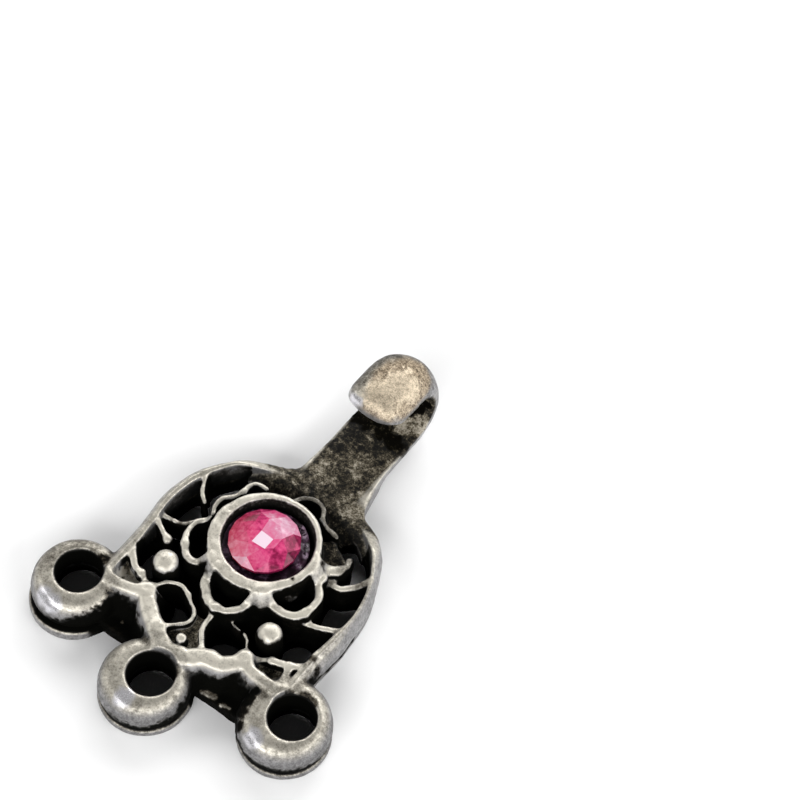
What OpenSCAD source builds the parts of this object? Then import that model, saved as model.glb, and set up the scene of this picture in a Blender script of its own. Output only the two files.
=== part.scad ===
// Bodice hook: a cast openwork plate with three sewing loops, a hook and a pink stone in a raised collar.
// X runs across, Y runs towards the hook and Z is up from the flat back.
// The origin is on the back, straight below the middle of the stone's collar.

/* [Plate] */
// Outer radius of the round plate, where its rim bulges most
plate_r = 8.85; // [8.75:0.05:8.95]
// How far the middle of the round plate lies below the stone
plate_drop = 0.8; // [0.7:0.05:0.9]
// How far the plate sits to the right of the stone, as the casting came out
plate_shift = 0.15; // [0:0.05:0.2]
// Thickness of the ground behind the relief
ground_h = 1.2; // [1:0.1:1.5]
// Height of the rim above the back
rim_h = 3.3; // [3.1:0.1:3.5]
// Width of the round part of the rim
rim_w = 0.95; // [0.9:0.05:1]
// Width of its straight sides
side_w = 1.2; // [1.15:0.05:1.25]
// Half of the clear width between the straight sides
side_x = 7.45; // [7.4:0.05:7.5]

/* [Stone collar] */
// Outer radius of the collar at its top
collar_r = 4; // [3.9:0.05:4.1]
// Height of the collar above the back
collar_h = 4.5; // [4.4:0.1:4.7]
// Inner radius of the cup in the collar
cup_r = 3.32; // [3.3:0.01:3.35]
// Height of the floor of the cup
cup_floor = 2.6; // [2.4:0.1:2.6]

/* [Petals and tracery] */
// Height of the petals
petal_h = 3.65; // [3.5:0.05:3.8]
// Width of the petals' wires
petal_w = 0.48; // [0.42:0.02:0.54]
// Width of the thin wires between the pierced gaps
wire_w = 0.42; // [0.38:0.02:0.46]
// Height of the thin wires
wire_h = 3; // [2.8:0.1:3.2]
// Radius of the two large pellets
pellet_r = 0.93; // [0.8:0.05:0.95]

/* [Sewing loops] */
// Radius of the bore in each loop
loop_bore_r = 1.7; // [1.6:0.05:1.75]
// Height of each loop
loop_h = 3.05; // [2.9:0.05:3.2]

/* [Hook] */
// Width of the round-backed bar that makes the arm and the hook
bar_w = 5; // [4.8:0.1:5.2]
// Thickness of that bar
bar_t = 1.9; // [1.85:0.05:2]
// Thickness of its steep edges
bar_edge = 0.6; // [0.5:0.1:0.8]
// Clear height inside the hook
throat = 4.2; // [4.1:0.1:4.4]
// Distance from the stone to the centre of the bend
bend_y = 14.9; // [14.6:0.1:15.2]
// Distance from the stone to the hook's tip
tip_y = 11.6; // [11.4:0.1:11.9]

/* [Stone] */
// Radius of the stone at its girdle
stone_r = 2.6; // [2.5:0.05:2.65]
// Height of the girdle's lower edge
girdle_z = 3.95; // [3.9:0.05:4]
// Height of the table above the girdle
crown_h = 0.85; // [0.7:0.05:1]
// Clearance between the stone, its cement and the cup
fit_gap = 0.05; // [0.04:0.01:0.06]

/* [Hidden] */
$fn = 48;

plate_mid = [0, -plate_drop];
// Relief starts inside the ground, so that no face lies on the back
root_z = 0.3;
// Inner radius of the rim, and where its straight sides begin and end
rim_in_r = plate_r - rim_w;
side_top = -1.8;
side_low = -8.3;
side_bend = [side_x + 0.05, -4.5];
rim_top_angle = 62;
// The rim runs down to the neck from here, at this slope
shoulder_y = 4.6;
shoulder_slope = 38;
// Lower edge of the ground between the loops, and half of its length
ground_low = -10.6;
web_half = 6.2;
// The neck is flat outside this radius, up to the shoulders
band_r = 6.85;
shoulder_angle = 48;
neck_low = 0.45;
neck_fillet = 1.7;
neck_half = bar_w / 2 + 0.35;
// Inner radius, middle height and outer radius of the hook's bend
bend_in = throat / 2;
bend_z = bar_t + bend_in;
bend_out = bend_in + bar_t;
bar_r = (pow(bar_w / 2, 2) + pow(bar_t - bar_edge, 2)) / (2 * (bar_t - bar_edge));
// Each loop: its bore, the middle of its dome and of the band below it, as the worn mould left them
// bore x, bore y, dome x, dome y, dome radius, band x, band y, band radius
LOOPS = [
    [-9.25, -9.2, -9.25, -9.45, 3.35, -9.05, -9.95, 3.3],
    [-0.15, -12.3, -0.5, -12.6, 3.25, -0.45, -12.6, 3.35],
    [9.5, -9, 9, -9.2, 3.35, 9.1, -9.35, 3.3]
];
// Each petal's wire and the ground it stands on. The last wire is broken off short
// centre x, centre y, radius, start angle, end angle, ground radius
PETALS = [
    [0.3, 3.85, 1.6, -26, 198, 1.9],
    [-3.35, 2.1, 1.55, 36, 260, 1.85],
    [-3.55, -2.2, 1.7, 98, 322, 2],
    [0.05, -3.95, 1.7, 158, 382, 2],
    [3.85, -1.6, 1.72, -134, 90, 2],
    [3.6, 2.3, 1.72, -75, 22, 1.5]
];
// Pierced gaps along the rim: start angle, end angle, distance of the middle from the rim
RIM_GAPS = [
    [30, 48, 1.3],
    [-3, 12, 1.25]
];
rim_gap_half = 1.15;
// Round pierced gaps, right half: centre x, centre y, half width, half height
ROUND_GAPS = [
    [6.2, -4.5, 1.2, 1.45],
    [2.35, -7.2, 1.6, 1.2]
];
// Corners of the two kinds of pocket with a raised floor, right half, and the heights of their floors
CORNER_POCKET = [
    [side_x + 0.4, side_low], [5.4, -8], [4.4, -7.4], [5.6, -6.7], [6.3, -6.4], [side_x, -5.6], [side_x + 0.4, -5.6]
];
LOW_POCKET = [
    [1.3, -9.3], [-0.4, -10.1], [-1.6, -9.3], [-0.7, -7.9], [-0.5, -6.9], [0.3, -6.5], [0.6, -7.8], [1.2, -8.6]
];
corner_pocket_h = 2.3;
low_pocket_h = 2.55;
// Thin wires, right half: from x, from y, to x, to y, extra width, extra height
WIRES = [
    [side_x, -2.5, 5.8, -2.9, 0.1, -0.2],
    [side_x, -6, 5.6, -6.6, 0.1, 0],
    [5.6, -6.6, 4.2, -6.9, 0, -0.1],
    [0.35, -6.3, 0.7, -7.7, 0, 0.1],
    [0.7, -7.7, 1.35, -8.6, 0, 0.15]
];
// The middle of the right large pellet and its height
pellet_mid = [4.62, -5.15];
pellet_h = 4;
// The small pellet over the middle loop: x, y, radius, height
SMALL_PELLET = [-0.1, -9.05, 0.42, 3.5];
// The lower ridge, right half: from x, from y, to x, to y, width, extra height, foot height, foot spread
RIDGE = [
    [side_x + 0.2, side_low, 5.5, -8.05, 0.7, 0.05, 0.1, 1.5],
    [5.5, -8.05, 4.1, -7.5, 0.7, 0, 0.15, 1.7],
    [4.1, -7.6, 1.1, -9.6, 0.95, 0.1, 0.2, 0.7]
];

// Points along an arc
function arc(mid, r, from, to, steps) =
    [for (i = [0:steps]) let (a = from + (to - from) * i / steps) mid + r * [cos(a), sin(a)]];

// Points round an oval
function oval(mid, rx, ry, steps = 20) =
    [for (i = [0:steps - 1]) mid + [rx * cos(360 * i / steps), ry * sin(360 * i / steps)]];

// A bean along a circle: two arcs joined by round ends
function bean(mid, r, half_w, from, to, steps = 5) =
    concat(
        arc(mid, r + half_w, from, to, steps),
        arc(mid + r * [cos(to), sin(to)], half_w, to + 36, to + 144, 3),
        arc(mid, r - half_w, to, from, steps),
        arc(mid + r * [cos(from), sin(from)], half_w, from + 216, from + 324, 3)
    );

// A closed outline from its right half
function both_sides(half) =
    concat(half, [for (i = [len(half) - 1:-1:0]) [-half[i].x, half[i].y]]);

// A wall with a rounded top. Its foot can spread to the left of its run
function ridge_section(w, h, low = root_z, foot = 0) =
    concat([[-w / 2, low], [w / 2 + foot, low]], arc([0, h - w / 2], w / 2, 0, 180, 6));

// A straight ridge from one point to another
module straight_ridge(from, to, w, h, low = root_z, foot = 0) {
    run = to - from;
    translate([from.x, from.y, 0])
        rotate([0, 0, atan2(run.y, run.x)])
            translate([-w / 4, 0, 0])
                rotate([90, 0, 90])
                    linear_extrude(norm(run) + w / 2) polygon(ridge_section(w, h, low, foot));
}

// A ridge along an arc
module curved_ridge(mid, r, from, to, w, h) {
    translate([mid.x, mid.y, 0])
        rotate([0, 0, from])
            rotate_extrude(angle = to - from)
                translate([r, 0]) polygon(ridge_section(w, h));
}

module mirrored() {
    children();
    mirror([1, 0, 0]) children();
}

// The plate sits a little to the right of the stone
module in_plate() {
    translate([plate_shift, 0, 0]) children();
}

// The eight pierced gaps, kept clear of the petals
module pierced_gaps() {
    difference() {
        in_plate()
            mirrored() {
                for (g = RIM_GAPS)
                    polygon(bean(plate_mid, rim_in_r - g[2], rim_gap_half, g[0], g[1]));
                for (g = ROUND_GAPS)
                    polygon(oval([g[0], g[1]], g[2], g[3]));
            }
        circle(collar_r + 0.1);
        for (p = PETALS)
            translate([p[0], p[1]]) circle(p[5]);
    }
}

module ground() {
    corner_x = side_x + 0.4;
    half = concat(
        [[0, ground_low], [web_half, ground_low], [corner_x, side_low], [corner_x, side_top - 2.5]],
        arc(plate_mid, rim_in_r + 0.2, -7, 90, 16)
    );
    linear_extrude(ground_h)
        difference() {
            in_plate() polygon(both_sides(half));
            pierced_gaps();
        }
}

// Raised floors at the lower corners and over the middle loop
module pockets() {
    translate([0, 0, root_z]) {
        mirrored() linear_extrude(corner_pocket_h - root_z) polygon(CORNER_POCKET);
        linear_extrude(low_pocket_h - root_z) polygon(LOW_POCKET);
    }
}

// The flat neck that widens from the arm to the shoulders
module neck() {
    shoulder_r = plate_r - 0.15;
    fillet_x = neck_half + neck_fillet;
    fillet_y = -plate_drop + sqrt(pow(shoulder_r + neck_fillet, 2) - pow(fillet_x, 2));
    meet = atan2(fillet_y + plate_drop, fillet_x);
    half = concat(
        arc(plate_mid, band_r, 90, shoulder_angle, 7),
        arc(plate_mid, shoulder_r, shoulder_angle, meet, 3),
        arc([fillet_x, fillet_y], neck_fillet, meet + 180, 180, 6),
        [[bar_w / 2 + 0.05, 10.2], [bar_w / 4, 14]]
    );
    translate([0, 0, neck_low])
        linear_extrude(bar_t - neck_low) polygon(both_sides(half));
}

// The rim's section, from its inner face out: a crest near the inside and a rounded outer slope
module rim_section(w, h) {
    polygon([
        [0, 0], [w - 0.6, 0], [w - 0.42, 0.25], [w - 0.2, 1], [w, 1.8], [w - 0.1, h - 0.85],
        [w - 0.3, h - 0.4], [w - 0.55, h - 0.08], [0.3, h], [0.1, h - 0.08], [0, h - 0.35]
    ]);
}

module rim_side(from, to) {
    run = to - from;
    translate([from.x, from.y, 0])
        rotate([0, 0, atan2(run.y, run.x)])
            translate([-0.15, 0, 0])
                rotate([90, 0, 90])
                    linear_extrude(norm(run) + 0.3) mirror([1, 0]) rim_section(side_w, rim_h - 0.05);
}

module rim() {
    low = asin((side_top + plate_drop) / rim_in_r);
    top = [rim_in_r * cos(low), side_top];
    mirrored()
        difference() {
            union() {
                translate([plate_mid.x, plate_mid.y, 0])
                    rotate([0, 0, low - 1])
                        rotate_extrude(angle = rim_top_angle - low + 1)
                            translate([rim_in_r, 0]) rim_section(rim_w, rim_h);
                rim_side([side_x, side_low], side_bend);
                rim_side(side_bend, top);
            }
            translate([-1, shoulder_y, rim_h + 0.1])
                rotate([-shoulder_slope, 0, 0]) cube([plate_r + 3, plate_r + 3, 2 * rim_h]);
        }
}

// The curly lower ridge: bars from the rim, then a shallow V to the middle loop.
// Its foot spreads down to the lower edge of the ground
module lower_ridge() {
    tip = [1.1, -9.85];
    mirrored()
        for (r = RIDGE)
            straight_ridge([r[0], r[1]], [r[2], r[3]], r[4], rim_h + r[5], r[6], r[7]);
    straight_ridge(tip, [-tip.x, tip.y], 1, rim_h + 0.15, 0.25, 0.2);
}

// The collar and its cup
module collar() {
    rotate_extrude()
        polygon([
            [0, root_z], [collar_r + 0.2, root_z], [collar_r + 0.15, 3], [collar_r + 0.08, collar_h - 0.3],
            [collar_r, collar_h - 0.1], [collar_r - 0.2, collar_h], [collar_r - 0.45, collar_h],
            [cup_r + 0.05, collar_h - 0.1], [cup_r, collar_h - 0.35], [cup_r - 0.06, 3], [cup_r - 0.22, cup_floor], [0, cup_floor]
        ]);
}

module petals() {
    for (p = PETALS)
        curved_ridge([p[0], p[1]], p[2], p[3], p[4], petal_w, petal_h);
}

module pellet(mid, r, h) {
    translate([mid.x, mid.y, 0])
        rotate_extrude()
            polygon([
                [0, root_z], [r, root_z], [r, h - 0.75 * r], [0.87 * r, h - 0.4 * r],
                [0.5 * r, h - 0.1 * r], [0, h]
            ]);
}

module pellets() {
    mirrored() pellet(pellet_mid, pellet_r, pellet_h);
    pellet([SMALL_PELLET[0], SMALL_PELLET[1]], SMALL_PELLET[2], SMALL_PELLET[3]);
}

module gap_collar(mid, half_w, half_h) {
    translate([0, 0, root_z])
        linear_extrude(wire_h - root_z)
            difference() {
                polygon(oval(mid, half_w + wire_w, half_h + wire_w));
                polygon(oval(mid, half_w, half_h));
            }
}

// Thin wires between the gaps, with a curl at each side and a collar round each lower gap
module tracery() {
    low_gap = ROUND_GAPS[1];
    mirrored() {
        curved_ridge([5.4, 2], 1.5, -85, 24, wire_w, wire_h);
        for (w = WIRES)
            straight_ridge([w[0], w[1]], [w[2], w[3]], wire_w + w[4], wire_h + w[5]);
        gap_collar([low_gap[0], low_gap[1]], low_gap[2], low_gap[3]);
    }
}

// The dome of a sewing loop, with the lip of its bore worn
module loop_dome(bore, mid, r) {
    difference() {
        translate([mid.x, mid.y, 0])
            rotate_extrude()
                polygon([
                    [0, 0.7], [r - 0.2, 0.7], [r - 0.05, 1], [r, 1.5], [r - 0.12, 2], [r - 0.4, 2.45],
                    [r - 0.8, loop_h - 0.22], [r - 1.25, loop_h], [0, loop_h]
                ]);
        translate([bore.x, bore.y, loop_h - 0.3])
            cylinder(r1 = loop_bore_r - 0.05, r2 = loop_bore_r + 0.35, h = 0.4);
    }
}

// The thin band under the dome
module loop_band(mid, r) {
    translate([mid.x, mid.y, 0])
        rotate_extrude()
            polygon([[0, 0], [r - 0.3, 0], [r, 0.2], [r + 0.05, 0.55], [r - 0.1, 0.8], [0, 0.8]]);
}

module loops() {
    for (l = LOOPS) {
        loop_dome([l[0], l[1]], [l[2], l[3]], l[4]);
        loop_band([l[5], l[6]], l[7]);
    }
}

module loop_bores() {
    for (l = LOOPS)
        translate([l[0], l[1], -1]) cylinder(r = loop_bore_r, h = 7);
}

// Round-backed section of the bar, drawn at its place in the bend
module bar_section() {
    intersection() {
        translate([bend_out - bar_r, 0]) circle(bar_r);
        translate([bend_in, -bar_w / 2]) square([bar_w, bar_w]);
    }
}

module arm() {
    start = band_r - plate_drop + 0.2;
    translate([0, bend_y, bend_z])
        rotate([90, 90, 0]) linear_extrude(bend_y - start) bar_section();
}

module bend() {
    translate([0, bend_y, bend_z])
        rotate([0, 90, 0]) rotate_extrude(angle = 180) bar_section();
}

// The hook's free end, rounded in plan and towards its tip
module hook_end() {
    plan_r = 3.3;
    nose_r = 2.75;
    intersection() {
        translate([0, bend_y, bend_z])
            rotate([90, -90, 0]) linear_extrude(bend_y - tip_y + 1) bar_section();
        union() {
            translate([0, tip_y + plan_r, 0]) cylinder(r = plan_r, h = 9);
            translate([-bar_w, tip_y + plan_r - 1.2, 0]) cube([2 * bar_w, bar_w, 9]);
        }
        union() {
            translate([-bar_w, tip_y + 2.4, bar_t + throat - 0.7])
                rotate([0, 90, 0]) cylinder(r = nose_r, h = 2 * bar_w);
            translate([-bar_w, tip_y + 2.4, 0]) cube([2 * bar_w, bar_w, 9]);
        }
    }
}

module casting() {
    color("silver")
        difference() {
            union() {
                ground();
                pockets();
                in_plate() {
                    neck();
                    rim();
                }
                lower_ridge();
                collar();
                petals();
                pellets();
                tracery();
                loops();
                arm();
                bend();
                hook_end();
            }
            loop_bores();
        }
}

// The bed of clear cement that holds the stone in the cup
module stone_cement() {
    seat = stone_r + 1.5 * fit_gap;
    low = cup_floor + fit_gap;
    color("indigo")
        rotate_extrude()
            polygon([
                [0, low], [cup_r - 0.22 - fit_gap, low], [cup_r - 0.06 - fit_gap, 3],
                [cup_r - 0.04 - fit_gap, 3.5], [seat - 0.3, 3.42],
                [0.95 + fit_gap, low + fit_gap + 0.1], [0, low + fit_gap + 0.1]
            ]);
}

// The cut stone: eight-sided table, kite facets, a sixteen-sided girdle and a blunt foiled back
module stone() {
    facet_h = 0.01;
    girdle_h = 0.22;
    color("hotpink")
        hull() {
            translate([0, 0, girdle_z + girdle_h + crown_h - facet_h])
                rotate(22.5) linear_extrude(facet_h) circle(0.5 * stone_r, $fn = 8);
            translate([0, 0, girdle_z + girdle_h + 0.55 * crown_h])
                linear_extrude(facet_h) circle(0.78 * stone_r, $fn = 8);
            translate([0, 0, girdle_z])
                linear_extrude(girdle_h) polygon(arc([0, 0], stone_r, 0, 337.5, 15));
            translate([0, 0, cup_floor + 3 * fit_gap + 0.1])
                linear_extrude(facet_h) circle(0.8, $fn = 8);
        }
}

casting();
stone_cement();
stone();
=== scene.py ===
"""Looks of a cast bodice hook: antique silver openwork with a foiled pink stone, on a plain pale floor.

Sizes are in millimetres up to the last step of each mesh, where they become metres.
The casting is one distance field: each wire, ridge and loop is a short row in a table, the rows
melt into each other with small fillets as cast metal does, and the field is then meshed.
"""

import math

import bpy
import numpy as np
from mathutils import Matrix, Vector


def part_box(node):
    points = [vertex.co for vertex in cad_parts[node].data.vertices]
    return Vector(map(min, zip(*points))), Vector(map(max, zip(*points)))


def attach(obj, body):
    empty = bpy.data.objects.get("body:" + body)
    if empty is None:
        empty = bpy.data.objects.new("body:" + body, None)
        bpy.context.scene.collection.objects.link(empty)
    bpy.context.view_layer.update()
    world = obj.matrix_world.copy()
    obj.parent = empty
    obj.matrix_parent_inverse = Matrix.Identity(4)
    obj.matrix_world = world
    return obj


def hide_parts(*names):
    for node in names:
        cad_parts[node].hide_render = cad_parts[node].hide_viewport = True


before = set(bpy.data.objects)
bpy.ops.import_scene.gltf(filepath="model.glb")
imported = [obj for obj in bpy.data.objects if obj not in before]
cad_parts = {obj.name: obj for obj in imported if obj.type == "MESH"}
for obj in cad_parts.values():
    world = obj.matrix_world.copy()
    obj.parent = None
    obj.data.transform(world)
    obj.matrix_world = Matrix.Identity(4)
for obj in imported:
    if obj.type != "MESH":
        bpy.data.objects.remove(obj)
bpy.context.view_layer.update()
scene = bpy.context.scene

MM = 0.001
SEED = 7

# The ground's lower end, which is cut off at 0 later, and the lower end of walls
CUT_LOW = -0.5
WALL_LOW = 0.3

# Grid of the casting's distance field
GRID_STEP = 0.1
GRID_LOW = (-13, -16.4, CUT_LOW)
GRID_HIGH = (12.9, 19.3, 8.4)
# The value far from all metal, and the margin round the box of each shape
FAR = 3
REACH = 0.9
TRIANGLE_LIMIT = 190000

# Plate, rim and neck
PLATE_X = 0.15
PLATE_Y = -0.8
RIM_IN = 7.9
RIM_TOP = 3.3
RIM_W = 0.95
# The rim's section, across and up: a crest near the inside and a rounded outer slope
RIM_SECTION = [
    (0.08, 0), (RIM_W - 0.48, 0), (RIM_W - 0.36, 0.12), (RIM_W - 0.34, 0.38), (RIM_W - 0.44, 0.55),
    (RIM_W - 0.42, 0.8), (RIM_W - 0.22, 1.2), (RIM_W - 0.1, 1.8), (RIM_W - 0.18, RIM_TOP - 0.85),
    (RIM_W - 0.38, RIM_TOP - 0.42), (RIM_W - 0.6, RIM_TOP - 0.14), (0.32, RIM_TOP - 0.08),
    (0.14, RIM_TOP - 0.16), (0.08, RIM_TOP - 0.4),
]
SIDE_W = 1.2
SIDE_POINTS = [(7.5, -4.5), (7.45, -8.3)]
SIDE_TOP = -1.8
RIM_TOP_ANGLE = 62
# How much wider the rim's left side came out, and how much narrower its right
RIM_BULGE = 0.2
RIM_PINCH = 0.3
SHOULDER_Y = 4.6
SHOULDER_SLOPE = 0.78
GROUND_TOP = 1.2
GROUND_LOW = -10.7
WEB_HALF = 6.2
# Lower edge of the neck, right half
NECK_EDGE = [(0, 6), (1.6, 5.85), (3, 5.5), (4.3, 5), (5.2, 4.4)]
SHOULDER_R = 8.7
SHOULDER_ANGLE = 48
NECK_LOW = 0.45
NECK_FILLET = 1.7
# The ground that falls from the neck to the petals, right half, and its slope
FALL_EDGE = [
    (0, 5.2), (0, 6.6), (3, 6.2), (4.6, 5.4), (5.6, 4.4), (5.2, 3.7), (4.2, 3.6), (2.8, 4.3), (1.6, 5),
]
FALL_Y = 6.3
FALL_SLOPE = 0.35
# How much darker it is below its upper edge
FALL_DARK = 0.55

# Collar, cup and the ground behind the petals
COLLAR_R = 4
COLLAR_TOP = 4.5
COLLAR_SECTION = [
    (0, WALL_LOW), (4.2, WALL_LOW), (4.15, 3), (4.1, 4.2), (4.04, 4.38), (3.92, 4.48),
    (3.75, COLLAR_TOP), (0, COLLAR_TOP),
]
CUP_X = 0.16
CUP_Y = 0.25
# Inside this radius the cup's wall stays smooth and in place
CUP_CLEAR = 3.36
CUP_SECTION = [(0, 2.6), (3.1, 2.6), (3.22, 3), (3.3, 4.2), (3.36, 4.42), (3.45, 4.6), (0, 4.6)]
# Middle x, y and radius of the ground behind each petal, which the gaps stay clear of
PETAL_GROUNDS = [
    (0.3, 3.85, 1.9), (-3.35, 2.1, 1.85), (-3.55, -2.2, 2),
    (0.05, -3.95, 2), (3.85, -1.6, 2), (3.6, 2.3, 1.5),
]
# Gaps along the rim: start angle, end angle, distance of the middle from the rim
RIM_GAPS = [(30, 48, 1.3), (-3, 12, 1.25)]
RIM_GAP_HALF = 1.15
# Round gaps, right half: middle x, y, half width, half height
ROUND_GAPS = [(6.2, -4.5, 1.2, 1.45), (2.35, -7.2, 1.6, 1.2)]

# Loops: bore x, y, dome x, y, r, band x, y, r, top
LOOPS = [
    (-9.25, -9.2, -9.2, -9.45, 3.3, -9.05, -9.95, 3.3, 0.95),
    (-0.15, -12.3, -0.5, -12.6, 3.25, -0.45, -12.6, 3.35, 0.72),
    (9.5, -9, 9, -9.2, 3.35, 9.1, -9.35, 3.3, 0.72),
]
LOOP_BORE = 1.66
LOOP_TOP = 3.05
# Reach of the dome's rounding across and up
LOOP_ROUND = 1.25
LOOP_RISE = 1.5
# How high the black stands on each dome above its groove, raised up some flanks as painted shade: angles
# round the dome, heights
BLACK_ANGLES = (-180, -155, -140, -105, -80, -55, -40, 0, 40, 110, 180)
BLACK_AND_SHADE_HEIGHTS = [
    (1, 1, 1, 1.08, 1.4, 2.05, 2.4, 2.7, 2.2, 1.2, 1),
    (0.85, 0.85, 0.95, 1.15, 1.3, 1.25, 1.2, 1.9, 1.7, 1.2, 0.85),
    (2.5, 2.45, 2.1, 1.25, 1.2, 1.15, 1.1, 0.9, 0.85, 1.6, 2.5),
]

# Wires: half width, top at the start and at the end, and the points each one runs through
PETALS = [
    (0.33, 3.7, 3.6, [(2.5, -3.4), (2.85, -3.35), (3.5, -3.35), (4.35, -3.3), (5.05, -3), (5.5, -2.4)]),
    (0.31, 3.6, 3.6, [(5.5, -2.4), (5.58, -1.6), (5.45, -0.75), (4.85, -0.05), (4.1, 0.15)]),
    (0.32, 3.7, 3.6, [(2.4, -3.5), (2.05, -3.95), (1.85, -4.4), (1.6, -5), (1, -5.6), (0.25, -5.8)]),
    (0.38, 3.6, 3.45, [(0.25, -5.8), (-0.55, -5.6), (-1.3, -5), (-1.65, -4.5), (-1.7, -3.8)]),
    (0.29, 3.5, 3.5, [(-2.35, -3.4), (-2.85, -3.7), (-3.45, -3.9), (-4.05, -3.7), (-4.65, -3.15)]),
    (0.23, 3.5, 3.3, [(-4.65, -3.15), (-5.05, -2.5), (-5.2, -1.8), (-5.1, -1.1), (-4.6, -0.5)]),
    (0.18, 3, 3.1, [(-4.75, 0.1), (-5.1, 0.9), (-5.05, 1.7), (-4.55, 2.25), (-4.2, 2.95)]),
    (0.19, 3.1, 3.3, [(-4.2, 2.95), (-4.2, 3.6), (-3.85, 4.1), (-3, 4.1)]),
    (0.2, 2.9, 3.2, [(-1, 4.6), (-0.6, 5.2), (0.1, 5.55), (0.7, 5.55), (1.3, 5.2), (1.8, 4.3)]),
    (0.45, 3.7, 3.4, [(3.6, 0.95), (4.5, 1.25), (5.2, 1.75)]),
    (0.28, 3.4, 3.3, [(5.2, 1.75), (5.4, 2.4), (5.25, 2.95)]),
    (0.2, 3.2, 3, [(1.8, 4.3), (2.5, 4.15), (3.3, 4.1)]),
    # Where petals meet at the collar
    (0.5, 4.2, 3.7, [(2.1, -2.9), (2.4, -3.3), (2.6, -3.65)]),
    (0.42, 4.2, 3.8, [(3.95, 0.5), (4.3, 0.5), (4.7, 0.45)]),
]
TRACERY = [
    # Collar of the lower left gap
    (0.15, 3.1, 3, [(-4.4, -7.2), (-3.85, -6.25), (-3.25, -5.85), (-2.7, -5.75), (-2, -6)]),
    (0.15, 3, 3.2, [(-2, -6), (-0.9, -6.65), (-0.6, -7.3), (-0.7, -7.9), (-1.5, -8.7)]),
    # Collar of the lower right gap, worn through at its top
    (0.2, 3, 3.2, [(0.3, -6.35), (0.35, -7.05), (0.6, -7.8), (1.3, -8.6)]),
    (0.13, 3.1, 2.8, [(4.1, -7.3), (3.7, -6.7), (3.35, -6.2), (2.9, -5.88)]),
    (0.1, 2.8, 2.6, [(2.45, -5.85), (1.75, -5.72)]),
    # Corner pockets
    (0.28, 3.1, 3, [(-7.4, -5.6), (-6.9, -6.1), (-6.4, -6.45), (-5.7, -6.6)]),
    (0.22, 2.95, 2.9, [(-5.7, -6.6), (-5.1, -6.9), (-4.5, -7.3)]),
    (0.28, 3.1, 3, [(7.5, -5.7), (7, -6.05), (6.3, -6.3), (5.75, -6.45)]),
    (0.2, 2.8, 2.6, [(5.75, -6.45), (5.1, -6.7), (4.3, -7.1)]),
    (0.24, 3.1, 3.15, [(7, -6.1), (7.2, -6.8), (7.4, -7.7)]),
    # Bars between the side gaps and the pellets
    (0.2, 3, 2.85, [(-7.5, -2.6), (-6.85, -3), (-6.1, -3.3)]),
    (0.16, 2.7, 2.6, [(-7.6, -1.95), (-6.7, -1.75), (-6, -1.5), (-5.3, -0.5)]),
    (0.25, 3.05, 2.9, [(7.9, -1.9), (7.2, -2.2), (6.5, -2.45), (5.85, -2.7)]),
    # Curls at the rim
    (0.17, 3.15, 3, [(-7.2, 2.5), (-6.9, 1.8), (-6.5, 1.1), (-5.9, 0.6)]),
    (0.25, 3.15, 3, [(7.35, 2.7), (7, 1.9), (6.6, 1.35), (6.1, 0.9), (5.6, 0.8)]),
]
# The lower ridge. Each row ends with the spread of its foot
RIDGE = [
    (0.42, 3.35, 3.3, [(-7.7, -8.3), (-6.4, -8.3), (-5.2, -8), (-4.45, -7.45)], 1.5),
    (0.62, 3.3, 3.4, [(-4.45, -7.5), (-3.85, -8.1), (-3.05, -8.75), (-2, -9.45)], 0.9),
    (0.66, 3.4, 3.45, [(-2, -9.45), (-1.2, -9.95), (-0.4, -10.25), (0.4, -10.25)], 0.7),
    (0.7, 3.45, 3.4, [(0.4, -10.25), (1.1, -9.9), (1.65, -9.45), (2.35, -9.05)], 0.8),
    (0.66, 3.4, 3.3, [(2.35, -9.05), (3.15, -8.85), (3.85, -8.15), (4.2, -7.5)], 0.9),
    (0.42, 3.3, 3.35, [(4.2, -7.45), (4.65, -7.8), (5.5, -8.05), (6.7, -8.1), (7.8, -8)], 1.5),
]
# Pockets with a raised floor: height, and the corners of each
POCKETS = [
    (2.3, [(-7.7, -8.2), (-5.2, -7.9), (-4.5, -7.4), (-5.6, -6.7), (-6.4, -6.4), (-7.5, -5.5)]),
    (2.3, [(7.8, -8), (5.5, -8), (4.3, -7.4), (5.6, -6.6), (6.3, -6.3), (7.6, -5.6)]),
    (2.55, [
        (-2, -9.4), (-0.4, -10.2), (0.9, -9.6), (1.3, -8.7),
        (0.6, -7.8), (0.3, -6.4), (-0.8, -6.6), (-0.7, -7.9),
    ]),
    (2.4, [(3.7, 1.1), (5.2, 1.8), (5.3, 3), (3.2, 4.1), (2.4, 3.4)]),
]
# Pellets: x, y, radius, top
PELLETS = [
    (-4.7, -5.18, 0.97, 4.05),
    (4.55, -5.15, 0.94, 4),
    (-0.1, -9.05, 0.42, 3.5),
    (5.15, 1, 0.5, 3),
    (-6.05, -3.35, 0.38, 2.9),
    (-5.7, -6.6, 0.36, 3),
]

# Hook: a half-round bar
BAR_HALF = 2.5
BAR_T = 1.9
BEND_IN = 2.1
BEND_Y = 14.9
BEND_Z = BAR_T + BEND_IN
TIP_Y = 11.55
TIP_PLAN_R = 3.3
NOSE_R = 2.75
ARM_START = 6.8
# Thickness of the bar's edges at two heights: they thin out towards the tip
EDGE_HEIGHTS = (2.5, 6)
EDGE_THICK = (0.95, 0.3)
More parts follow.
